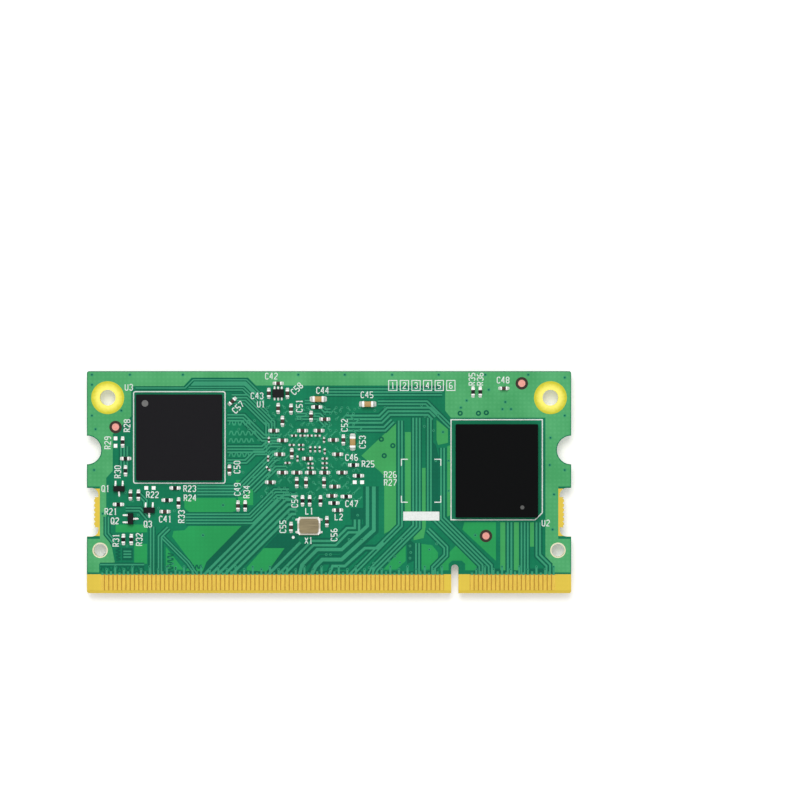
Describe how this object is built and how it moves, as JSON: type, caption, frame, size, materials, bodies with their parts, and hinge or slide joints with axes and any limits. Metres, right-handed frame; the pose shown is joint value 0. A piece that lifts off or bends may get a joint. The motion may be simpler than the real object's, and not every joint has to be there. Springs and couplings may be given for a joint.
{
  "type": "system on module",
  "caption": "Green compute card with a gold edge connector, square memory and storage packages, a crystal and chip parts on one face, processor and supply on the other.",
  "frame": {"origin": "under the middle of the board, at the level of the processor lid that the card rests on", "axes": "+X along the contact edge towards the key slot end, +Y from the contact edge to the far edge, +Z out of the face that carries the memory and the storage"},
  "size_m": [0.0676, 0.031, 0.0034],
  "materials": {
    "solder_mask": "green solder mask over copper on woven glass laminate, yellow laminate bare at the contact edge",
    "gold": "gold over nickel on copper",
    "hole_ring": "pale gold plating",
    "copper": "bare copper dots",
    "tin": "matt tin plating",
    "solder": "bright solder",
    "memory_mould": "dark grey epoxy moulding",
    "storage_mould": "black epoxy moulding",
    "small_mould": "black epoxy moulding",
    "brown_ceramic": "brown fired ceramic",
    "tan_ceramic": "tan fired ceramic",
    "alumina": "white alumina",
    "glass_coat": "black glass coat",
    "ferrite": "dark grey ferrite",
    "carrier": "dark green carrier laminate",
    "silicon": "polished silicon",
    "paste": "pale grey paste",
    "lid_metal": "nickel-plated pressed lid",
    "crystal_ceramic": "pale ceramic",
    "crystal_metal": "satin taupe metal lid"
  },
  "bodies": {
    "root": {"circuit_board": "solder_mask", "upper_contacts": "gold", "lower_contacts": "gold", "crystal_terminals": "gold", "mounting_hole_plating": "hole_ring", "fiducial_dots": "copper", "bare_pads": "tin", "tiny_capacitor_ends": "tin", "small_capacitor_ends": "tin", "medium_capacitor_ends": "tin", "resistor_ends": "tin", "ferrite_bead_ends": "tin", "gate_leads": "tin", "transistor_leads": "tin", "coil_terminals": "tin", "converter_pads": "tin", "regulator_leads": "tin", "lower_medium_capacitor_ends": "tin", "lower_small_capacitor_ends": "tin", "lower_resistor_ends": "tin", "upper_solder": "solder", "lower_solder": "solder", "memory_solder_balls": "solder", "storage_solder_balls": "solder", "processor_solder_balls": "solder", "memory_package": "memory_mould", "storage_package": "storage_mould", "gate_body": "small_mould", "transistor_bodies": "small_mould", "converter_bodies": "small_mould", "regulator_body": "small_mould", "tiny_capacitor_bodies": "brown_ceramic", "small_capacitor_bodies": "brown_ceramic", "lower_small_capacitor_bodies": "brown_ceramic", "medium_capacitor_bodies": "tan_ceramic", "lower_medium_capacitor_bodies": "tan_ceramic", "resistor_cores": "alumina", "lower_resistor_cores": "alumina", "resistor_coats": "glass_coat", "lower_resistor_coats": "glass_coat", "ferrite_bead_body": "ferrite", "coil_cores": "ferrite", "processor_carrier": "carrier", "processor_die": "silicon", "processor_paste": "paste", "processor_lid": "lid_metal", "crystal_base": "crystal_ceramic", "crystal_lid": "crystal_metal"}
  },
  "joints": []
}
